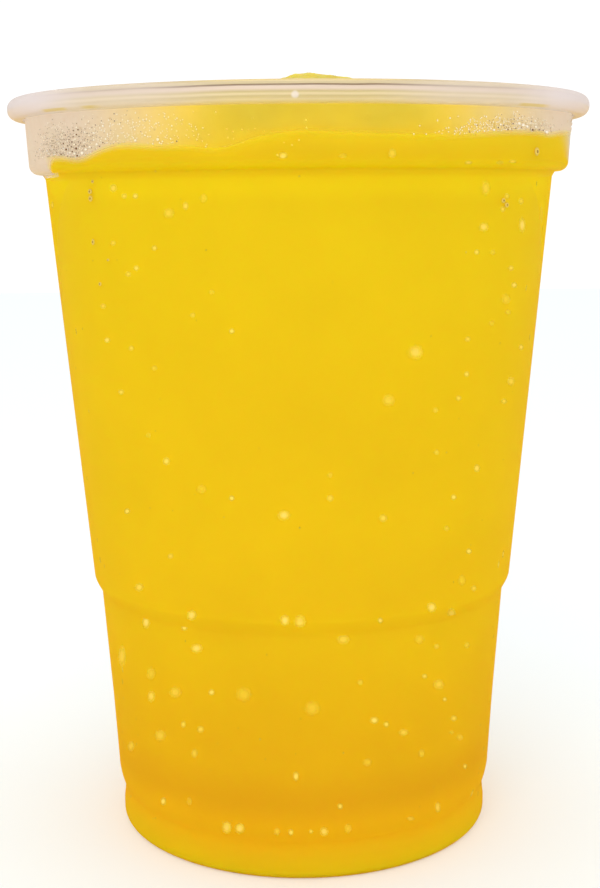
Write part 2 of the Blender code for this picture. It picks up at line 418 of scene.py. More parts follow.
collar_line = [(BODY_TOP_RADIUS + 2 * HALF_WALL, COLLAR_BOTTOM)]
collar_line += arc(
    (COLLAR_RADII[0] - COLLAR_ROUNDING, COLLAR_BOTTOM + COLLAR_ROUNDING), COLLAR_ROUNDING, -90, 0
)
collar_top = [(COLLAR_RADII[1], COLLAR_TOP)]
outer_centre = RIM_RADIUS - RIM_OUTER_ROUNDING
rim_line = arc(
    (COLLAR_RADII[1] + RIM_INNER_ROUNDING, RIM_TOP - RIM_INNER_ROUNDING), RIM_INNER_ROUNDING, 180, 90
)
rim_roll = len(rim_line)
rim_line += arc((outer_centre, RIM_TOP - RIM_OUTER_ROUNDING), RIM_OUTER_ROUNDING, 90, 0)
rim_line += arc((outer_centre, RIM_UNDERSIDE + RIM_OUTER_ROUNDING), RIM_OUTER_ROUNDING, 0, -90)
rim_line += [(RIM_EDGE_RADIUS, RIM_UNDERSIDE)]
print("collar", len(collar_line), "points, rim", len(rim_line), "points")

# %% [markdown]
# Turning the line could be a Screw modifier or a spin. Here the wall grows ring by ring instead, as one would
# raise it by hand: a circle at the base, extruded to each next height and resized to each next radius. Every
# ring then lies exactly at its size, and there are no doubles to merge.

# %% Helpers: rings, selection and finishing
SEGMENTS = 240
SAME_PLACE = 0.01


def deselect():
    bpy.ops.object.select_all(action="DESELECT")


def select_ring(piece, radius, height):
    """Selects the ring of vertices at a radius and height, in edit mode."""
    shape = bmesh.from_edit_mesh(piece.data)
    shape.select_mode = {"VERT"}
    bpy.ops.mesh.select_all(action="DESELECT")
    for vertex in shape.verts:
        out = math.hypot(vertex.co.x, vertex.co.y) / MM
        vertex.select = abs(out - radius) < SAME_PLACE and abs(vertex.co.z / MM - height) < SAME_PLACE
    shape.select_flush(True)
    bmesh.update_edit_mesh(piece.data)


def close_ring(piece, radius, height):
    """Closes a ring with a fan of triangles to a point in its middle."""
    select_ring(piece, radius, height)
    bpy.ops.mesh.extrude_region_move()
    bpy.ops.mesh.merge(type="CENTER")


def raise_rings(name, line):
    """A turned surface, grown from a circle along a line of (radius, height). It stays in edit mode."""
    deselect()
    bpy.ops.mesh.primitive_circle_add(vertices=SEGMENTS, radius=line[0][0] * MM, location=(0, 0, 0))
    piece = bpy.context.object
    piece.name = piece.data.name = name
    bpy.ops.object.mode_set(mode="EDIT")
    bpy.ops.transform.translate(value=(0, 0, line[0][1] * MM))
    for (radius, height), (next_radius, next_height) in zip(line, line[1:]):
        rise, share = (next_height - height) * MM, next_radius / radius
        bpy.ops.mesh.extrude_region_move(TRANSFORM_OT_translate={"value": (0, 0, rise)})
        bpy.ops.transform.resize(value=(share, share, 1), center_override=(0, 0, 0))
    return piece


# %% Helpers: leave edit mode, apply, hand over
def out_of_edit_mode(sharp_degrees=45):
    """Turns all faces outwards, leaves edit mode and shades the piece smooth up to an angle."""
    bpy.ops.mesh.select_all(action="SELECT")
    bpy.ops.mesh.normals_make_consistent(inside=False)
    bpy.ops.object.mode_set(mode="OBJECT")
    bpy.ops.object.shade_smooth_by_angle(angle=math.radians(sharp_degrees))


def apply_modifiers(piece):
    deselect()
    piece.select_set(True)
    bpy.context.view_layer.objects.active = piece
    for modifier in list(piece.modifiers):
        bpy.ops.object.modifier_apply(modifier=modifier.name)


def hand_over(piece, node=None):
    """The piece rides on the cup's one body and may stand for a node of the model, which is then hidden."""
    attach(piece, "root")
    if node:
        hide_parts(node)
    triangles = sum(len(face.vertices) - 2 for face in piece.data.polygons)
    print(piece.name, "has", triangles, "triangles")


# %% [markdown]
# The wall isn't equally thick. The sides were stretched thin in the mould, and the rim was rolled while it
# was warm and stayed nearly twice as thick; its bright top strip and the thin dark line under it come from
# that, and the rim's finish paints them in as well, as painted light. So the piece isn't given one thickness
# by a modifier. Two lines are drawn beside the middle one, each with its own distance at every point, and
# the closed section that they make is raised ring by ring. The outside stays where the fixed model has it.

# %% Cup wall
OUT, INSIDE = 0.30, 0.15
RIM_VOID_SIDE, RIM_SEEN_SIDE = 0.55, 0.30
LEAST_MITRE = 0.5


def beside(line, distances):
    """The line that runs to the left of a line, at its own distance for each point."""
    points = [Vector(point) for point in line]
    headings = [(after - before).normalized() for before, after in zip(points, points[1:])]
    moved = []
    for i, (point, distance) in enumerate(zip(points, distances)):
        first, second = headings[max(i - 1, 0)], headings[min(i, len(headings) - 1)]
        along = (first + second).normalized()
        normal = Vector((-along.y, along.x))
        mitre = max(normal.dot(Vector((-first.y, first.x))), LEAST_MITRE)
        moved.append(tuple(point + normal * distance / mitre))
    return moved


middle_line = side_line + supported(collar_line + collar_top + rim_line[:1]) + rim_line[1:]
before_rim = len(middle_line) - len(rim_line)
rolled = [smooth_step((i - before_rim) / (rim_roll - 1)) for i in range(len(middle_line))]
seen_side = beside(middle_line, [INSIDE + share * (RIM_SEEN_SIDE - INSIDE) for share in rolled])
other_side = beside(middle_line, [-OUT - share * (RIM_VOID_SIDE - OUT) for share in rolled])
cup_wall = raise_rings("cup_wall", other_side + seen_side[::-1])
close_ring(cup_wall, *other_side[0])
close_ring(cup_wall, *seen_side[0])
out_of_edit_mode()
hand_over(cup_wall, "cup")

# %% [markdown]
# The slush touches the wall from the foot to the collar. With even a hair of air between the two, the wall
# would mirror like a soap bubble, so the slush reaches just into the plastic, along the middle of the wall.
# At the top it isn't turned: it climbs the collar from left to right in soft waves, leaves the left corner of
# the collar empty, and rises to a low heap with a small tip over the rim. These functions give its form.

# %% The slush's top: its edge at the wall
CONTACT_MEAN, CONTACT_TILT = 114.4, 2.0
WAVES = (
    # middle in degrees, height, half width in degrees
    (-136, -0.7, 5), (-125, 0.8, 8), (-104, -0.9, 5), (-90, 0.8, 8), (-62, -0.5, 11), (-32, -0.4, 5),
    (20, 0.4, 12), (60, -0.6, 14), (95, 0.5, 10), (130, -0.4, 12),
)
EMPTY_SIDE_RADIUS, EMPTY_SIDE_TOP = 41.2, 112.4
EMPTY_HALF_ANGLE, FILLED_HALF_ANGLE = math.radians(25), math.radians(30)


def filled(angle):
    """1 where the slush reaches the collar's wall, and 0 on the left, where the collar is empty."""
    from_left = abs(math.pi - (angle % math.tau))
    return smooth_step((from_left - EMPTY_HALF_ANGLE) / (FILLED_HALF_ANGLE - EMPTY_HALF_ANGLE))


def wave(angle, middle, size, width):
    """A soft swell or dip round a middle angle."""
    away = (math.degrees(angle) - middle + 180) % 360 - 180
    return size * math.exp(-((away / width) ** 2))


def contact_height(angle):
    """Height of the slush at the wall, which climbs from left to right in uneven waves."""
    height = CONTACT_MEAN + CONTACT_TILT * math.cos(angle) + sum(wave(angle, *values) for values in WAVES)
    share = filled(angle)
    return share * height + (1 - share) * EMPTY_SIDE_TOP


def reach_at(angle, wall_radius):
    """How far out the slush lies where the wall would let it reach wall_radius."""
    share = filled(angle)
    return share * wall_radius + (1 - share) * min(EMPTY_SIDE_RADIUS, wall_radius)


for degrees in (-150, -90, -30):
    print("slush meets the wall at", round(contact_height(math.radians(degrees)), 1), "mm, angle", degrees)

# %% The slush's top: its heap
HEAP_TOP, HEAP_EXPONENTS = 126.6, (2.0, 0.85)
SUNK_UNDER_CRUMBS = 0.55
TIP_RADIUS, TIP_HEIGHT, TIP_X = 6.5, 1.1, 1.8
LUMP_SIZE, LUMP_HEIGHT = 11.0, 1.1
BUMP_SIZE, BUMP_HEIGHT = 5.5, 0.5
EDGE_FADE = 0.12


def collar_radius(height):
    """Radius of the middle of the collar's wall."""
    share = min((height - COLLAR_BOTTOM) / (COLLAR_TOP - COLLAR_BOTTOM), 1.0)
    return COLLAR_RADII[0] + share * (COLLAR_RADII[1] - COLLAR_RADII[0])


def heap_height(x, y, across, angle):
    """Height of the heap at a point, across being its share of the way from the axis to the edge."""
    edge = contact_height(angle)
    rise, steepness = HEAP_EXPONENTS
    height = edge + (HEAP_TOP - TIP_HEIGHT - edge) * (1 - min(across, 1.0) ** rise) ** steepness
    at_tip = math.exp(-((x - TIP_X) ** 2 + y**2) / TIP_RADIUS**2)
    fade = smooth_step((1 - across) / EDGE_FADE) * (1 - at_tip)
    lumps = LUMP_HEIGHT * noise.noise(Vector((x, y, 0.0)) / LUMP_SIZE)
    bumps = BUMP_HEIGHT * noise.noise(Vector((y, x, 0.0)) / BUMP_SIZE)
    return height + TIP_HEIGHT * at_tip + fade * (lumps + bumps - SUNK_UNDER_CRUMBS)


print("heap without crumbs at the axis:", round(heap_height(0.0, 0.0, 0.0, 0.0), 2), "mm")

# %% [markdown]
# The core is raised ring by ring like the cup, up the collar and in over the top. The top rings start out
# flat and level, and then each of their points is moved to where the functions above put it, like pushing wet
# snow into place. Fine crags follow from two Displace modifiers, which act on the heap alone.

# %% Slush core
COLLAR_RINGS, HEAP_RINGS = 10, 66
FLAT_TOP = 130.0
CORNER = COLLAR_BOTTOM + COLLAR_ROUNDING
CORE_COLLAR_RADIUS = COLLAR_RADII[0]

rising = [(CORE_COLLAR_RADIUS, CORNER + (i + 1) / COLLAR_RINGS) for i in range(COLLAR_RINGS)]
inwards = [(CORE_COLLAR_RADIUS * (1 - i / HEAP_RINGS), FLAT_TOP) for i in range(1, HEAP_RINGS)]
slush_core = raise_rings("slush_core", side_line + collar_line + rising + inwards)
close_ring(slush_core, *side_line[0])
close_ring(slush_core, *inwards[-1])
out_of_edit_mode(sharp_degrees=60)


def shaped(point):
    """Where a point of the raised core, in millimetres, lies once the top has its form."""
    radius, angle, height = math.hypot(point.x, point.y), math.atan2(point.y, point.x), point.z
    edge = contact_height(angle)
    if height > FLAT_TOP - 1:
        across = radius / CORE_COLLAR_RADIUS
        radius = across * reach_at(angle, collar_radius(edge))
        height = heap_height(radius * math.cos(angle), radius * math.sin(angle), across, angle)
    elif height > CORNER + SAME_PLACE:
        height = CORNER + (height - CORNER) * (edge - CORNER)
        radius = reach_at(angle, collar_radius(height))
    elif height > BODY_TOP + SAME_PLACE:
        radius = reach_at(angle, radius)
    return Vector((radius * math.cos(angle), radius * math.sin(angle), height))


on_heap = slush_core.vertex_groups.new(name="heap")
for vertex in slush_core.data.vertices:
    point = vertex.co / MM
    across = math.hypot(point.x, point.y) / CORE_COLLAR_RADIUS
    if point.z > FLAT_TOP - 1:
        on_heap.add([vertex.index], smooth_step((1 - across) / EDGE_FADE), "REPLACE")
    vertex.co = shaped(point) * MM
print("heap tip at", round(max(v.co.z for v in slush_core.data.vertices) / MM, 2), "mm")

# %% Crags on the heap
CRAGS = (("coarse_crags", 3.2, 0.55), ("fine_crags", 1.4, 0.35))

for name, size, height in CRAGS:
    texture = bpy.data.textures.new(name, "CLOUDS")
    texture.noise_scale = size * MM
    texture.noise_depth = 1
    crags = slush_core.modifiers.new(name, "DISPLACE")
    crags.texture = texture
    crags.texture_coords = "LOCAL"
    crags.vertex_group = "heap"
    crags.mid_level = 0.5
    crags.strength = height * MM
apply_modifiers(slush_core)
hand_over(slush_core, "slush")

# %% [markdown]
# Syrup and ice settle as the drink stands. The top is a cool lemon yellow, the middle a full yellow, and the
# foot holds orange syrup. The bands also carry painted light and shade: the foot is painted brighter where the
# floor shades it, a darker ring over it is painted shade round the base, and at the collar's step a painted
# bright ring and painted shade stand in for how light falls there. A colour ramp along the height gives these
# bands, and the frozen grain makes them cloudy. Light goes some millimetres deep into wet ice and softens
# every edge, so part of the colour is subsurface. The syrup itself hardly mirrors, because it lies against the
# plastic.

# %% Finish: slush
CUP_HEIGHT = 0.127
SYRUP_AND_PAINTED_LIGHT_BANDS = (
    # height in mm and colour: orange syrup in the foot, painted brighter where the floor shades it, a darker
    # ring over it that is painted shade round the base, then a full yellow, a painted bright ring that makes
    # up for the shade under the collar's step, painted shade on the step over it, and a paler top
    (0.0, (1.0, 0.54, 0.001)),
    (4.0, (0.98, 0.50, 0.001)),
    (8.0, (0.83, 0.46, 0.001)),
    (13.0, (0.75, 0.40, 0.001)),
    (20.0, (0.78, 0.46, 0.001)),
    (40.0, (0.81, 0.53, 0.001)),
    (65.0, (0.82, 0.56, 0.001)),
    (105.0, (0.81, 0.59, 0.001)),
    (109.0, (0.88, 0.68, 0.001)),
    (111.5, (0.74, 0.51, 0.002)),
    (114.0, (0.75, 0.55, 0.006)),
    (119.5, (0.61, 0.45, 0.03)),
    (122.5, (0.68, 0.53, 0.06)),
)
THIN_ICE, THICK_ICE = (0.955, 0.93, 0.9, 1.0), (1.035, 1.05, 1.2, 1.0)
GRAIN_STRENGTH = 0.08
LIGHT_GOES_IN, EACH_COLOUR_GOES = 0.010, (1.0, 0.55, 0.06)

slush_finish, tree = new_material("frozen_syrup")
stops = [(height * MM / CUP_HEIGHT, *colour, 1.0) for height, colour in SYRUP_AND_PAINTED_LIGHT_BANDS]
up = maths(tree, "DIVIDE", split_up(tree, object_place(tree))["Z"], CUP_HEIGHT)
frozen = add_node(tree, "ShaderNodeGroup", node_tree=grain_group)
cloudy = mixed(tree, frozen.outputs["Patches"], THIN_ICE, THICK_ICE)
tone = tinted(tree, ramp(tree, up, stops, "EASE").outputs["Color"], cloudy)
inputs = {"Normal": relief(tree, frozen.outputs["Grain"], GRAIN_STRENGTH)}
inputs |= {"Roughness": 0.5, "Specular IOR Level": 0.1}
inputs |= {"Subsurface Weight": 0.8, "Subsurface Scale": LIGHT_GOES_IN, "Subsurface Radius": EACH_COLOUR_GOES}
give(slush_core, slush_finish, principled(tree, tone, inputs))
print("slush bands:", len(SYRUP_AND_PAINTED_LIGHT_BANDS))

# %% [markdown]
# Crumbs, drops and bubbles are many small copies of one shape. The shape is modelled once, and its copies are
# written into one mesh from arrays, each with its own place, turn and size. That gives one piece of each
# kind. Two numbers stay on the points for the finish to read: a chance, drawn or given once for each
# copy, and how near the point is to the copy's middle.

# %% Helper: scatter copies
random = np.random.default_rng(7)
RIGHT, UP = tilt.to_3x3().col[0].copy(), tilt.to_3x3().col[1].copy()
LONGEST = 2.6
NEARLY_UPRIGHT = 0.05


def scattered(name, model, matrices, chances=None):
    """One mesh that holds a copy of the model for each matrix. The model itself is removed."""
    source = model.data
    corners = np.array([v.co for v in source.vertices])
    faces = [tuple(f.vertices) for f in source.polygons]
    count = len(corners)
    out = np.hypot(corners[:, 0], corners[:, 1])
    points, all_faces = [], []
    for number, matrix in enumerate(matrices):
        turn = np.array(matrix)
        points.append(corners @ turn[:3, :3].T + turn[:3, 3])
        all_faces += [tuple(i + number * count for i in face) for face in faces]
    mesh = bpy.data.meshes.new(name)
    mesh.from_pydata(np.concatenate(points).tolist(), [], all_faces)
    mesh.shade_smooth()
    middle = mesh.attributes.new("middle", "FLOAT", "POINT")
    middle.data.foreach_set("value", np.tile(1 - out / out.max(), len(matrices)))
    chance = mesh.attributes.new("chance", "FLOAT", "POINT")
    chance.data.foreach_set("value", np.repeat(chances or random.random(len(matrices)), count))
    piece = bpy.data.objects.new(name, mesh)
    bpy.context.scene.collection.objects.link(piece)
    bpy.data.objects.remove(model, do_unlink=True)
    return piece


def lying_on(point, normal, size, spin=0.0):
    """A matrix that puts a model at a point, its own Z along the normal and its own Y upright."""
    out = normal.normalized()
    side = Vector((0, 0, 1)).cross(out)
    side = side.normalized() if side.length > NEARLY_UPRIGHT else Vector((1, 0, 0))
    turn = Matrix((side, out.cross(side), out)).transposed() @ Matrix.Rotation(spin, 3, "Z")
    return Matrix.Translation(point) @ turn.to_4x4() @ Matrix.Diagonal((*size, 1.0))


def covering(point, normal, along_sight, size):
    """A matrix that lays a flat model on a surface, so that the camera sees it upright and in its size."""
    columns = []
    for axis, half in zip((RIGHT, UP), size):
        on_surface = axis - along_sight * axis.dot(normal) / along_sight.dot(normal)
        columns.append(on_surface * half * min(1.0, LONGEST / on_surface.length))
    turn = Matrix((*columns, normal * size[2])).transposed()
    return Matrix.Translation(point) @ turn.to_4x4()


def kept_number(tree, name):
    """The socket of a number that a piece keeps on its points."""
    return add_node(tree, "ShaderNodeAttribute", attribute_name=name).outputs["Fac"]


print("first draw", round(float(random.random()), 4))

# %% [markdown]
# Loose ice lies on the heap: rough crumbs of about a millimetre, half sunk in the slush. A crumb is an ico
# sphere of twenty faces whose corners are pulled about, so a few thousand of them stay light. They are
# dropped from above onto the core, denser than they could be placed by hand, and stay clear of the wall.

# %% Crumbs of ice
CRUMBS = 5200
CRUMB_SIZES, CRUMB_STRETCH = (0.32, 0.85), (0.75, 1.3)
CORNER_LEAST, CORNER_MORE = 0.78, 0.44
AT_TIP_LEAST, AT_TIP_MORE = 0.7, 0.3
CRUMB_EDGE = 0.955
SUNK_SHARE, SUNK_SHARE_AT_TIP = 0.35, 0.75
DROPPED_FROM = 0.14

deselect()
bpy.ops.mesh.primitive_ico_sphere_add(subdivisions=1, radius=MM, location=(0, 0, 0))
crumb = bpy.context.object
for vertex in crumb.data.vertices:
    vertex.co *= CORNER_LEAST + CORNER_MORE * random.random()

crumb_places = []
while len(crumb_places) < CRUMBS:
    across, angle = math.sqrt(random.random()), random.uniform(-math.pi, math.pi)
    if across > CRUMB_EDGE:
        continue
    radius = across * reach_at(angle, CORE_COLLAR_RADIUS) * MM
    above = Vector((radius * math.cos(angle), radius * math.sin(angle), DROPPED_FROM))
    hit, point, normal, face = slush_core.ray_cast(above, Vector((0, 0, -1)))
    small = CRUMB_SIZES[0] + (CRUMB_SIZES[1] - CRUMB_SIZES[0]) * random.random() ** 2
    near_tip = math.hypot(point.x / MM - TIP_X, point.y / MM) < 2 * TIP_RADIUS
    small = CRUMB_SIZES[0] * (AT_TIP_LEAST + AT_TIP_MORE * random.random()) if near_tip else small
    sunk = small * (SUNK_SHARE_AT_TIP if near_tip else SUNK_SHARE)
    sizes = [small * random.uniform(*CRUMB_STRETCH) for _ in range(3)]
    crumb_places.append(lying_on(point - normal * sunk * MM, normal, sizes, random.uniform(0, math.tau)))
ice_crumbs = scattered("ice_crumbs", crumb, crumb_places)
hand_over(ice_crumbs)

# %% Finish: ice
ICE_COLOUR = (0.650, 0.525, 0.045, 1.0)
ICE_PALE = (0.730, 0.620, 0.125, 1.0)
ICE_PATCHES = {"Patch Size": 0.005, "Grain Size": 0.0006}
PALE_FROM_TO, GRAIN_FROM_TO, ROUGHNESS_FROM_TO = (0.35, 0.7), (0.2, 0.8), (0.2, 0.5)

ice_finish, tree = new_material("syrup_ice")
frozen = add_node(tree, "ShaderNodeGroup", ICE_PATCHES, node_tree=grain_group)
tone = mixed(tree, ranged(tree, frozen.outputs["Patches"], PALE_FROM_TO), ICE_COLOUR, ICE_PALE)
wet = ranged(tree, frozen.outputs["Grain"], GRAIN_FROM_TO, ROUGHNESS_FROM_TO)
inputs = {"Roughness": wet, "IOR": 1.31, "Coat Weight": 0.2, "Coat Roughness": 0.1}
give(ice_crumbs, ice_finish, principled(tree, tone, inputs))
print("ice finish made")

# %% [markdown]
# Above the slush the cold collar is misted: a breath of condensation too fine to show as drops. A film of its
# own would lie so close to the wall that the two could cut into each other, so the wall itself carries the
# mist. For that it keeps two numbers on its points: how far a point lies over the slush's edge, and whether
# syrup has crept up there under the rim. At the far left, where the collar is empty, the mist starts lower.

# %% Numbers on the wall
CREPT_UP = (
    # from angle, to angle in degrees
    (-144.5, -134.5), (-131.8, -126.6), (-48.4, -38.0), (38, 52), (121, 134),
)
SOFT_END = 2.0
LEFT_OF, LEFT_FADE = -38.2, 1.6
LEFT_BOTTOM, LEFT_RISE = 109.4, 0.9
MIST_FROM_TO = (-1.1, 0.5)


def crept_up(angle):
    """1 in the middle of a streak of syrup, and softly less towards its ends."""
    degrees = math.degrees(angle)
    return max(smooth_step(min(degrees - start, end - degrees) / SOFT_END) for start, end in CREPT_UP)


def over_slush(x, angle, height):
    """How far over the slush's edge a point lies. On the far left the mist starts lower, with a soft end."""
    left = 1 - smooth_step((x - LEFT_OF) / LEFT_FADE)
    share = left * smooth_step((height - LEFT_BOTTOM) / LEFT_RISE)
    return (1 - share) * (height - contact_height(angle)) + share * MIST_FROM_TO[1]


over = cup_wall.data.attributes.new("over", "FLOAT", "POINT")
syrup = cup_wall.data.attributes.new("syrup", "FLOAT", "POINT")
for number, vertex in enumerate(cup_wall.data.vertices):
    angle = math.atan2(vertex.co.y, vertex.co.x)
    over.data[number].value = over_slush(vertex.co.x / MM, angle, vertex.co.z / MM) * MM
    syrup.data[number].value = crept_up(angle)
print("points over the slush's edge:", sum(o.value > 0 for o in over.data))

# %% [markdown]
# Clear plastic is glass to the renderer: full transmission, a plain index of refraction and very little
# roughness, with a faint warm tint. Thin packaging always has slow ripples and finger marks, so two noises
# bend its normal and its gloss a little. Lamps would cast a hard dark shadow through glass, and the light
# that the slush gathers from the room would be lost in it, so shadow and diffuse rays pass straight through.


# %% Finish: clear plastic
def light_passes(tree, shader, tint):
    """The shader, but see-through for rays that only bring light to a matt surface."""
    path = add_node(tree, "ShaderNodeLightPath")
    brings = maths(tree, "MAXIMUM", path.outputs["Is Shadow Ray"], path.outputs["Is Diffuse Ray"])
    return blend(tree, brings, shader, add_node(tree, "ShaderNodeBsdfTransparent", {"Color": tint}))


def blend(tree, share, first, second):
    """A shader that goes from the first one to the second as the share grows."""
    return add_node(tree, "ShaderNodeMixShader", {"Fac": share, 1: first.outputs[0], 2: second.outputs[0]})


PLASTIC_TINT = (0.965, 0.935, 0.920, 1.0)
RIM_ABOVE, RIM_BEYOND = (0.1192, 0.1194), (0.04485, 0.04495)
RIPPLE_SIZE, RIPPLE_STRENGTH = 0.011, 0.12
MARK_SIZE, MARKS_FROM_TO, GLOSS_FROM_TO = 0.022, (0.4, 0.75), (0.02, 0.08)

plastic, tree = new_material("clear_plastic_wall")
place = split_up(tree, object_place(tree))
aside, height = maths(tree, "ABSOLUTE", place["X"]), place["Z"]
beyond = ranged(tree, from_axis(tree, "LENGTH"), RIM_BEYOND)
on_rim = maths(tree, "MAXIMUM", ranged(tree, height, RIM_ABOVE), beyond)
gloss = ranged(tree, pattern_of(tree, MARK_SIZE, detail=4.0), MARKS_FROM_TO, GLOSS_FROM_TO)
ripples = relief(tree, pattern_of(tree, RIPPLE_SIZE, detail=1.0), RIPPLE_STRENGTH)
print("plastic tint", PLASTIC_TINT[:3])

# %% [markdown]
# Mist makes the plastic rough, so that what lies behind is blurred, and adds a matt share of its own, least
# at the front and most at both sides, where it turns from yellow to cream. The yellow at the front is the
# slush's light through the mist, painted into the matt share. Close to the slush the mist is painted deeper
# in colour, a painted glow of the slush's yellow.

# %% Finish: mist on the plastic
# the yellow of the matt share at the front is painted light from the slush
MIST_PAINTED_YELLOW_AT_FRONT, MIST_AT_SIDES = (0.95, 0.63, 0.015, 1.0), (0.745, 0.580, 0.42, 1.0)
BLUR_AT_FRONT, BLUR_AT_SIDES = (0.965, 0.935, 0.28, 1.0), (0.890, 0.860, 0.78, 1.0)
MIST_ROUGHNESS = (0.28, 0.42)
COVER_FRONT_SIDES = (0.25, 0.68)
PATCHY_SIZE, PATCHY_FROM_TO = 0.006, (0.8, 1.2)
MIST_MIDDLE, FRONT_TO_SIDES, YELLOW_TO_CREAM = 0.0035, (0.006, 0.030), (0.013, 0.0375)
# painted glow of the slush's yellow near its edge
PAINTED_GLOW_OF_SLUSH, GLOW_HEIGHT = (0.94, 0.91, 0.65, 1.0), 0.0017

misted = ranged(tree, kept_number(tree, "over"), [edge * MM for edge in MIST_FROM_TO])
misted = times(tree, misted, maths(tree, "SUBTRACT", 1.0, on_rim))
off_middle = maths(tree, "ABSOLUTE", maths(tree, "SUBTRACT", place["X"], MIST_MIDDLE))
sides, cream = ranged(tree, off_middle, FRONT_TO_SIDES), ranged(tree, off_middle, YELLOW_TO_CREAM)
far = maths(tree, "MAXIMUM", ranged(tree, kept_number(tree, "over"), (0.0, GLOW_HEIGHT)), sides)
painted_glow_near_slush = mixed(tree, far, PAINTED_GLOW_OF_SLUSH, WHITE)
blurred = tinted(tree, mixed(tree, cream, BLUR_AT_FRONT, BLUR_AT_SIDES), painted_glow_near_slush)
tone = mixed(tree, misted, PLASTIC_TINT, blurred)
rough = ranged(tree, sides, (0.0, 1.0), MIST_ROUGHNESS)
inputs = {"IOR": 1.49, "Transmission Weight": 1.0, "Metallic": 0.0, "Normal": ripples}
inputs |= {"Roughness": mixed(tree, misted, gloss, rough, kind="FLOAT")}
clear = principled(tree, tone, inputs)

patchy = ranged(tree, pattern_of(tree, PATCHY_SIZE, detail=3.0), MOST_OF_NOISE, PATCHY_FROM_TO)
cover = times(tree, times(tree, ranged(tree, sides, (0.0, 1.0), COVER_FRONT_SIDES), patchy), misted)
tone = tinted(tree, mixed(tree, cream, MIST_PAINTED_YELLOW_AT_FRONT, MIST_AT_SIDES), painted_glow_near_slush)
matt = principled(tree, tone, {"Roughness": 0.7, "IOR": 1.2})
fogged = blend(tree, cover, clear, matt)
print("mist covers", COVER_FRONT_SIDES, "at the front and the sides")

# %% [markdown]
# The rolled rim was never stretched and is milky. Light runs round inside the roll and leaves in fine bands,
# a brownish line near the top and tan and pink ones under it, which a ramp along the height paints in as
# painted light; towards both sides the bands fade. Where syrup has crept up under the rim, short yellow
# streaks show along its foot, and one pale drop is caught in it near the middle.

# %% The rim's bands
GOLD, CREAM, TAN = (0.85, 0.65, 0.2), (0.85, 0.7, 0.4), (0.6, 0.48, 0.2)
ROSE, BROWN = (0.82, 0.65, 0.5), (0.2, 0.12, 0.06)
# painted light: the bands that light leaves as it runs round inside the roll
RIM_PAINTED_LIGHT_BANDS = (
    # height in mm, colour, share of the milky finish: cream and tan in turn from a gold foot, a rose band, the
    # brown line, and cream again up to a gold top
    (119.0, GOLD, 0.62), (119.4, CREAM, 0.62), (119.8, TAN, 0.62), (120.1, CREAM, 0.62), (120.4, TAN, 0.62),
    (120.8, ROSE, 0.62), (121.1, ROSE, 0.62), (121.25, BROWN, 0.8), (121.35, BROWN, 0.8), (121.5, CREAM, 0.62),
    (121.8, CREAM, 0.62), (122.0, GOLD, 0.62),
)
AT_SIDE, SIDE_SHARE = (0.76, 0.64, 0.54, 1.0), 0.6
RIM_FROM_TO = (119.0, 122.2)
MIDDLE_TO_SIDE, BANDS_TO_PLAIN = (0.008, 0.023), (0.028, 0.040)
MILKY, MILKY_SHARE = (0.77, 0.67, 0.64, 1.0), 0.80
WAVER_SIZE, WAVER = 0.012, (-0.00004, 0.00004)


def rim_colours(tree, share, bands):
    """The colour and the milky share of the rim at a share of its height."""
    start, end = RIM_FROM_TO
    stops = [((z - start) / (end - start), *colour, alpha) for z, colour, alpha in bands]
    return ramp(tree, share, stops).outputs


waver = ranged(tree, pattern_of(tree, WAVER_SIZE), MOST_OF_NOISE, WAVER)
wavering = maths(tree, "ADD", height, waver)
share = ranged(tree, wavering, [z * MM for z in RIM_FROM_TO])
share.node.interpolation_type = "LINEAR"
in_bands = rim_colours(tree, share, RIM_PAINTED_LIGHT_BANDS)
beside_middle = ranged(tree, aside, MIDDLE_TO_SIDE, (0.0, SIDE_SHARE))
plain, strong = ranged(tree, aside, BANDS_TO_PLAIN), in_bands["Alpha"]
banded = mixed(tree, beside_middle, in_bands["Color"], AT_SIDE)
print("rim bands:", len(RIM_PAINTED_LIGHT_BANDS))

# %% Finish: the rim, its syrup and its caught drop
SYRUP, SYRUP_SHARE = (0.72, 0.53, 0.08, 1.0), 0.75
SYRUP_BOTTOM, SYRUP_TOP = (0.11895, 0.11910), (0.11932, 0.11950)
CAUGHT_DROP_AT = (295, 94.5)
CAUGHT_DROP, CAUGHT_DROP_EDGE = (0.92, 0.82, 0.76, 1.0), (0.00028, 0.00068)
SHADOW_TINT = (0.97, 0.95, 0.94, 1.0)

strip = times(tree, ranged(tree, height, SYRUP_BOTTOM), ranged(tree, height, SYRUP_TOP, (1.0, 0.0)))
streak = times(tree, strip, times(tree, kept_number(tree, "syrup"), SYRUP_SHARE))
drop_place = seen_at(cup_wall, *CAUGHT_DROP_AT)[0]
away = add_node(tree, "ShaderNodeVectorMath", {0: object_place(tree), 1: drop_place}, operation="DISTANCE")
in_drop = ranged(tree, away.outputs["Value"], CAUGHT_DROP_EDGE, (1.0, 0.0))
tone = mixed(tree, streak, mixed(tree, plain, banded, MILKY), SYRUP)
milky = principled(tree, mixed(tree, in_drop, tone, CAUGHT_DROP), {"Roughness": 0.4, "IOR": 1.49})
at_rim = times(tree, mixed(tree, plain, strong, MILKY_SHARE, kind="FLOAT"), on_rim)
give(cup_wall, plastic, light_passes(tree, blend(tree, at_rim, fogged, milky), SHADOW_TINT))
print("caught drop at", [round(c / MM, 1) for c in drop_place], "mm")

# %% [markdown]
# Where the mist has run together it stands in drops, a dense patch on the left just over the slush and a
# smaller one on the right. A drop is a small dome whose flat side lies on the wall. The largest ones are
# placed by where the photo shows them, and the others are drawn at random with a chance that depends on the
# angle and the height. A drop that would touch another is left out.

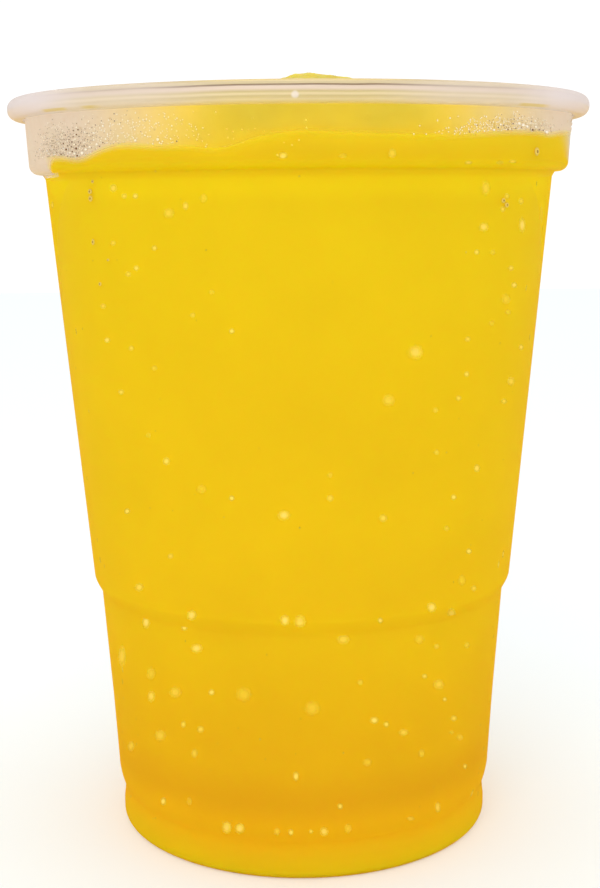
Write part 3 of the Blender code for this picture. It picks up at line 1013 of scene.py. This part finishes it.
# %% Large drops: places
DARK, CLEAR, PALE = 0.1, 0.5, 0.9
LARGE_DROPS = (
    # kind, and pixel across, pixel down and width in pixels of each drop
    (DARK, (
        (67, 149.5, 3.2), (77, 148.5, 3.6), (78, 155.7, 3.0), (72.5, 142, 2.5), (64, 143.5, 2.3),
        (68.3, 145.8, 2.2), (72, 146.7, 2.4), (73, 151.7, 2.4), (78.5, 129.7, 2.4), (74, 130.5, 2.0),
        (73.7, 136.7, 2.0), (77, 134.5, 2.4), (79.5, 136.5, 2.0), (61.7, 154.2, 2.4), (57.5, 152.5, 1.9),
        (65.8, 135, 1.9), (84.7, 146, 2.2), (87.5, 133.3, 1.8), (100, 146.3, 2.0), (103.3, 142.5, 1.8),
        (52.5, 141, 1.8), (50, 150, 1.8), (69.5, 139.5, 1.8), (81, 143, 1.8),
    )),
    (PALE, (
        (70.3, 152.6, 2.2), (75, 153.6, 2.6), (82.5, 153, 3.2), (80.6, 150.6, 2.6), (86, 149.5, 2.8),
        (90, 147, 2.4), (97, 144.5, 2.8), (94, 140, 2.0), (74.5, 144.6, 2.0), (75.6, 139.3, 2.0),
        (76.5, 127.5, 1.8), (135.5, 140.5, 2.8), (158, 139.5, 3.2), (145, 135.5, 2.0), (103, 126, 2.2),
        (94, 133, 2.4), (128, 121, 2.0), (106, 139, 2.2), (118, 136, 2.0),
    )),
    (DARK, (
        (532, 130, 3.2), (512.8, 123.7, 1.9), (507.5, 129.5, 2.0), (539.2, 129.8, 2.0), (542.8, 130.3, 1.8),
        (515.5, 128.4, 1.8), (498, 127.5, 1.7),
    )),
    (PALE, (
        (519, 123.5, 3.0), (523, 125, 3.4), (527, 126.5, 2.8), (528, 129.5, 2.4), (546.5, 132, 3.6),
        (535.5, 127, 2.4), (500.5, 124.5, 2.2), (494, 130, 2.4), (535, 121, 2.2), (519.5, 118, 1.8),
        (299, 140, 2.4), (292, 145, 2.2), (284, 142.5, 1.6), (306, 120, 2.0), (306.5, 128, 2.6),
        (277.5, 155, 2.4),
    )),
)
print("large drops in the photo:", sum(len(drops) for kind, drops in LARGE_DROPS))

# %% Large drops
DROP_SEGMENTS, DROP_RINGS = 8, 5
DOME, FLAT_SIDE = 0.6, 0.2
DROP_APART = 0.02
LEAST_FACING = 0.45
DROPS_END = 118.9


def dome(segments, rings, tall):
    """A small dome on its flat side, to be scattered."""
    deselect()
    bpy.ops.mesh.primitive_uv_sphere_add(segments=segments, ring_count=rings, radius=MM, location=(0, 0, 0))
    for vertex in bpy.context.object.data.vertices:
        vertex.co.z *= tall if vertex.co.z > 0 else FLAT_SIDE
    return bpy.context.object


def add_drop(angle, height, size, tall, kind):
    """A drop on the collar, unless it would touch one that is already there."""
    spot, room = Vector((COLLAR_RADII[1] * angle, height)), (size + tall) / 2
    apart = [(spot - other).length - room - radius for other, radius in taken]
    if height + tall > DROPS_END or min(apart, default=1.0) < DROP_APART:
        return
    taken.append((spot, room))
    drop_kinds.append(kind)
    outward = Vector((math.cos(angle), math.sin(angle), 0.0))
    point = (outward * (collar_radius(height) + OUT) + Vector((0, 0, height))) * MM
    drop_places.append(lying_on(point, outward, (size, tall, min(size, tall))))


drop = dome(DROP_SEGMENTS, DROP_RINGS, tall=DOME)
taken, drop_places, drop_kinds = [], [], []
for kind, drops in LARGE_DROPS:
    for x, y, width in drops:
        point, normal, pixel = seen_at(cup_wall, x, y)
        radius = width * pixel / MM / 2
        facing = max(abs(normal.dot(sight(x, y))), LEAST_FACING)
        add_drop(math.atan2(point.y, point.x), point.z / MM, radius / facing, radius, kind)
print("large drops placed:", len(drop_places))

# %% Small drops
SMALLEST_DROP, DROP_TALL = 0.08, (1.0, 1.25)
SALTED = (DARK, DARK, DARK, CLEAR, PALE, PALE)
MOSTLY_PALE = (DARK, CLEAR, PALE, PALE, PALE)
DROP_PATCHES = (
    # middle angle, half width in degrees, middle and half height over the slush, count, largest radius, kinds
    (-142.0, 10.0, 1.2, 2.8, 1300, 0.16, SALTED),
    (-133.0, 14.0, 2.0, 2.8, 380, 0.15, MOSTLY_PALE),
    (-118.0, 13.0, 2.0, 2.6, 170, 0.15, (PALE,)),
    (-104.0, 8.0, 1.6, 2.0, 14, 0.12, (PALE,)),
    (-43.0, 9.0, 0.5, 1.4, 850, 0.16, MOSTLY_PALE),
    (-52.0, 11.0, 0.6, 1.4, 300, 0.14, (PALE,)),
    (60.0, 60.0, 2.0, 2.4, 420, 0.34, (CLEAR,)),
    (130.0, 30.0, 2.0, 2.4, 240, 0.34, (CLEAR,)),
)

for middle, half_width, over, half_height, count, largest, kinds in DROP_PATCHES:
    for _ in range(count):
        angle = math.radians(random.normal(middle, half_width / 2))
        height = contact_height(angle) + abs(random.normal(over, half_height / 2))
        size = SMALLEST_DROP + (largest - SMALLEST_DROP) * random.random() ** 2
        add_drop(angle, height, size, size * random.uniform(*DROP_TALL), random.choice(kinds))
collar_drops = scattered("collar_drops", drop, drop_places, drop_kinds)
hand_over(collar_drops)

# %% [markdown]
# A standing drop is a lens. Its middle gathers the dark front of the room or the white light of the back,
# depending on how it stands, so the patch of drops looks salted with black and white. At three or four pixels
# a drop that play of light can't be left to chance, so the kept numbers decide it and the finish paints it:
# some drops are painted pale, a painted glint, with a dark middle that is a painted reflection of the dark
# front, some are painted pale all over, and the rest stay clear. Near the front the painted glints are yellow
# like the mist.


# %% Finish: water
def water_like(tree, tint):
    """Clear water with a tint."""
    inputs = {"Roughness": 0.02, "IOR": 1.33, "Transmission Weight": 1.0, "Metallic": 0.0}
    return principled(tree, tint, inputs)


# painted reflection of the dark front in a drop's middle
PAINTED_DARK_REFLECTION = (0.17, 0.065, 0.012, 1.0)
WATER_TINT = (0.97, 0.91, 0.80, 1.0)
# painted yellow and white glints
PAINTED_YELLOW_GLINT, PAINTED_WHITE_GLINT = (0.98, 0.73, 0.06, 1.0), (0.96, 0.85, 0.66, 1.0)
YELLOW_TO_PALE = (0.004, 0.030)
DARK_BELOW, PALE_ABOVE = 0.30, 0.62
CORE_FROM_TO, EDGE_FROM_TO, EDGE_SHARES = (0.15, 0.38), (0.0, 0.3), (0.7, 1.0)

water, tree = new_material("water")
chance, middle = kept_number(tree, "chance"), kept_number(tree, "middle")
dark, pale = maths(tree, "LESS_THAN", chance, DARK_BELOW), maths(tree, "GREATER_THAN", chance, PALE_ABOVE)
aside = maths(tree, "ABSOLUTE", split_up(tree, object_place(tree))["X"])
edge = mixed(tree, ranged(tree, aside, YELLOW_TO_PALE), PAINTED_YELLOW_GLINT, PAINTED_WHITE_GLINT)
core = times(tree, dark, ranged(tree, middle, CORE_FROM_TO))
lens = principled(tree, mixed(tree, core, edge, PAINTED_DARK_REFLECTION), {"Roughness": 0.3})
share = times(tree, maths(tree, "ADD", dark, pale), ranged(tree, middle, EDGE_FROM_TO, EDGE_SHARES))
give(collar_drops, water, blend(tree, share, water_like(tree, WATER_TINT), lens))
print("water finish made")

# %% [markdown]
# Small bubbles of air are caught between the slush and the wall. They show as soft pale spots, most of them
# near the sides and in the lower third, and many are drawn out upwards. Each is a flat lens that sits in the
# wall just in front of the core. Those at the front are placed where the photo shows them, and the rest are
# drawn at random round the back, so the cup looks the same from every side.

# %% Air bubbles: places seen from the front
ROUND_BUBBLE = 5.5
SEEN_BUBBLES = (
    # pixel across, pixel down, and width and height in pixels where it isn't a ROUND_BUBBLE
    # on the collar
    (283, 156, 9, 7), (343, 156, 8, 5), (392, 153, 8, 9), (468, 162, 7, 3), (499, 162, 7, 3),
    (512, 161, 7, 3),
    # top left
    (114, 188, 7, 8), (125, 196), (136, 196), (54, 205, 5, 7), (169, 213, 10, 10), (186, 206, 6, 8),
    (204, 198, 7, 9), (114, 243), (155, 248), (137, 268), (129, 274), (212, 292), (104, 306), (193, 315),
    (232, 331),
    # middle left
    (108, 340), (132, 348), (155, 368), (122, 392), (149, 435), (167, 461, 7, 8), (202, 489, 9, 9),
    (232, 498), (128, 511), (171, 556), (330, 475), (330, 498, 7, 7), (284, 515, 12, 10), (383, 518, 8, 8),
    # top right
    (485, 188, 8, 14), (506, 196, 5, 6), (502, 209, 5, 6), (520, 201, 5, 7), (540, 214, 5, 16),
    (521, 225, 6, 14), (483, 227, 9, 9), (476, 252), (492, 252), (510, 268), (513, 285), (505, 299, 8, 10),
    (507, 312), (491, 323), (467, 339), (520, 347),
    # middle right
    (466, 374), (510, 381, 7, 9), (503, 401), (458, 398), (435, 410), (436, 452), (476, 468, 6, 8),
    (453, 497), (446, 528), (468, 551), (415, 352, 14, 14), (388, 400, 12, 12),
    # low right
    (461, 580, 7, 10), (473, 588, 5, 6), (431, 607, 9, 9), (451, 613, 8, 10), (380, 620, 5, 5),
    (419, 639, 9, 9), (436, 646), (466, 645, 5, 6), (360, 682), (424, 676, 5, 5), (438, 684, 10, 10),
    (444, 699, 4, 4), (453, 718, 6, 6), (459, 737, 6, 6), (451, 732, 4, 4), (386, 724), (403, 732, 9, 7),
    (374, 720, 8, 7), (421, 753, 6, 8), (367, 762, 8, 8), (464, 766, 4, 5), (437, 807, 5, 9),
    (410, 818, 7, 4), (348, 828, 7, 8), (324, 831, 8, 8), (311, 831, 4, 4), (340, 806, 5, 6),
    (296, 776, 6, 9),
    # low left
    (140, 587, 8, 8), (147, 622, 7, 12), (123, 656, 8, 20), (192, 615, 9, 9), (185, 627, 6, 7),
    (197, 648, 11, 9), (152, 673, 8, 12), (152, 696, 7, 11), (176, 692, 11, 11), (212, 692, 6, 6),
    (244, 694, 14, 14), (161, 735, 10, 11), (201, 729, 7, 7), (184, 724, 5, 7), (195, 753, 6, 9),
    (132, 746, 7, 10), (164, 801, 5, 7), (190, 801, 5, 8), (227, 827, 9, 11), (240, 828, 9, 9),
    (277, 831, 6, 7), (291, 832, 5, 6), (343, 639, 12, 10), (285, 620, 9, 10), (300, 621, 11, 12),
    (312, 708, 14, 14),
)
print("bubbles seen from the front:", len(SEEN_BUBBLES))

# %% Air bubbles
BUBBLE_SEGMENTS, BUBBLE_RINGS = 8, 5
BUBBLE_DEPTH, BUBBLE_WIDER, BUBBLE_TALL = 0.02, 1.45, (1.0, 1.7)
HIDDEN_BUBBLES, FINE_BUBBLES = 330, 160
HIDDEN_SIZES, FINE_SIZES = (0.22, 0.75), (0.10, 0.22)
FRONT_ANGLE, FRONT_HALF = math.radians(-90), math.radians(62)
BUBBLE_HEIGHTS, MORE_BELOW = (5.0, 112.0), 1.4
OUTSIDE = 0.1


def on_side(piece, angle, height):
    """The point and the normal of a piece's side, at an angle and a height in metres."""
    outward = Vector((math.cos(angle), math.sin(angle), 0.0))
    hit, point, normal, face = piece.ray_cast(outward * OUTSIDE + Vector((0, 0, height)), -outward)
    return point, normal


deselect()
bpy.ops.mesh.primitive_uv_sphere_add(
    segments=BUBBLE_SEGMENTS, ring_count=BUBBLE_RINGS, radius=MM, location=(0, 0, 0)
)
bubble = bpy.context.object
bubble_places = []
for x, y, *size in SEEN_BUBBLES:
    width, tall = size or (ROUND_BUBBLE, ROUND_BUBBLE)
    point, normal, pixel = seen_at(slush_core, x, y)
    half = BUBBLE_WIDER * pixel / MM / 2
    bubble_places.append(covering(point, normal, sight(x, y), (width * half, tall * half, BUBBLE_DEPTH)))

for number in range(HIDDEN_BUBBLES + FINE_BUBBLES):
    low = random.random() ** MORE_BELOW
    height = BUBBLE_HEIGHTS[0] + (BUBBLE_HEIGHTS[1] - BUBBLE_HEIGHTS[0]) * low
    sizes = HIDDEN_SIZES if number < HIDDEN_BUBBLES else FINE_SIZES
    size = sizes[0] + (sizes[1] - sizes[0]) * random.random() ** 2
    angle = random.uniform(-math.pi, math.pi)
    if number < HIDDEN_BUBBLES:
        angle = FRONT_ANGLE + FRONT_HALF + random.random() * (math.tau - 2 * FRONT_HALF)
    point, normal = on_side(slush_core, angle, height * MM)
    bubble_places.append(lying_on(point, normal, (size, size * random.uniform(*BUBBLE_TALL), BUBBLE_DEPTH)))
air_bubbles = scattered("air_bubbles", bubble, bubble_places)
hand_over(air_bubbles)

# %% [markdown]
# A bubble has no edge of its own: it is the yellow of the slush, painted a little paler with a painted
# highlight in its heart, and fades out all round. So its finish is see-through at the rim, and its normal is
# that of the round cup, not that of the tiny lens, which would shade its edge like a bead. Light passes it,
# or a dark ring would lie round it on the slush.

# %% Finish: air bubbles
# the paler yellow and the brighter heart are a painted highlight
BUBBLE_COLOUR, BUBBLE_PAINTED_HIGHLIGHT = (0.93, 0.66, 0.04, 1.0), (0.96, 0.74, 0.16, 1.0)
BUBBLE_STRENGTH = (0.50, 0.95)
HEART_FROM_TO, FADE_FROM_TO = (0.2, 0.9), (0.0, 0.8)

bubble_finish, tree = new_material("caught_air")
middle, chance = kept_number(tree, "middle"), kept_number(tree, "chance")
strength = ranged(tree, chance, (0.0, 1.0), BUBBLE_STRENGTH)
heart = times(tree, ranged(tree, middle, HEART_FROM_TO), chance)
inputs = {"Normal": from_axis(tree, "NORMALIZE"), "Roughness": 0.6, "Specular IOR Level": 0.1}
inputs |= {"Alpha": times(tree, ranged(tree, middle, FADE_FROM_TO), strength)}
soft = principled(tree, mixed(tree, heart, BUBBLE_COLOUR, BUBBLE_PAINTED_HIGHLIGHT), inputs)
give(air_bubbles, bubble_finish, light_passes(tree, soft, WHITE))
print("bubble strengths", BUBBLE_STRENGTH)

# %% [markdown]
# A few larger drops of condensation stand alone on the outside of the cold wall. They are the same kind of
# dome as those on the collar, placed where the photo shows them, with some more at the back. Each is painted
# as a pale lens, a painted glint, with a small brown heart that is a painted reflection of what is dark in
# front.

# %% Drops outside
OUTER_DROPS = (
    # pixel across, pixel down, width and height in pixels
    (92.5, 181.5, 2.6, 3.4), (90, 191.5, 4, 5), (90.5, 198.5, 4, 6), (93, 242, 2.8, 6), (108, 260, 2.6, 2.6),
    (100, 284, 2.8, 4), (503.5, 200.5, 4, 5), (506.8, 205, 4, 5), (537, 151.5, 4.5, 8),
)
OUTER_SEGMENTS, OUTER_RINGS, OUTER_DEPTH, OUTER_TALL = 14, 8, 0.35, (1.0, 1.6)
BACK_DROPS = 26
BACK_DROP_SIZES = (0.25, 0.65)
BACK_DROP_HEIGHTS = (12.0, 106.0)
SEEN_HALF = math.radians(84)

outer_drop = dome(OUTER_SEGMENTS, OUTER_RINGS, tall=1.0)
outer_places = []
for x, y, width, tall in OUTER_DROPS:
    point, normal, pixel = seen_at(cup_wall, x, y)
    wide, high = width * pixel / MM / 2, tall * pixel / MM / 2
    outer_places.append(covering(point, normal, sight(x, y), (wide, high, wide * OUTER_DEPTH)))
for _ in range(BACK_DROPS):
    angle = FRONT_ANGLE + SEEN_HALF + random.random() * (math.tau - 2 * SEEN_HALF)
    point, normal = on_side(cup_wall, angle, random.uniform(*BACK_DROP_HEIGHTS) * MM)
    size = random.uniform(*BACK_DROP_SIZES)
    sizes = (size, size * random.uniform(*OUTER_TALL), size * OUTER_DEPTH)
    outer_places.append(lying_on(point, normal, sizes))
outer_drops = scattered("outer_drops", outer_drop, outer_places)
hand_over(outer_drops)

# %% Finish: standing drops
# painted glint of the lens and painted reflection of the dark front in its heart
PAINTED_LENS_GLINT, PAINTED_DARK_HEART = (0.88, 0.63, 0.12, 1.0), (0.36, 0.21, 0.03, 1.0)
BROWN_FROM_TO, LENS_FROM_TO, LENS_SHARE = (0.50, 0.66), (0.1, 0.6), (0.75, 0.95)
OUTER_TINT = (0.98, 0.97, 0.95, 1.0)

standing, tree = new_material("standing_drops")
middle = kept_number(tree, "middle")
tone = mixed(tree, ranged(tree, middle, BROWN_FROM_TO), PAINTED_LENS_GLINT, PAINTED_DARK_HEART)
share = ranged(tree, middle, LENS_FROM_TO, LENS_SHARE)
lens = principled(tree, tone, {"Roughness": 0.4, "IOR": 1.2})
give(outer_drops, standing, blend(tree, share, water_like(tree, OUTER_TINT), lens))
print("standing drops at the back:", BACK_DROPS)

# %% End
print("done")
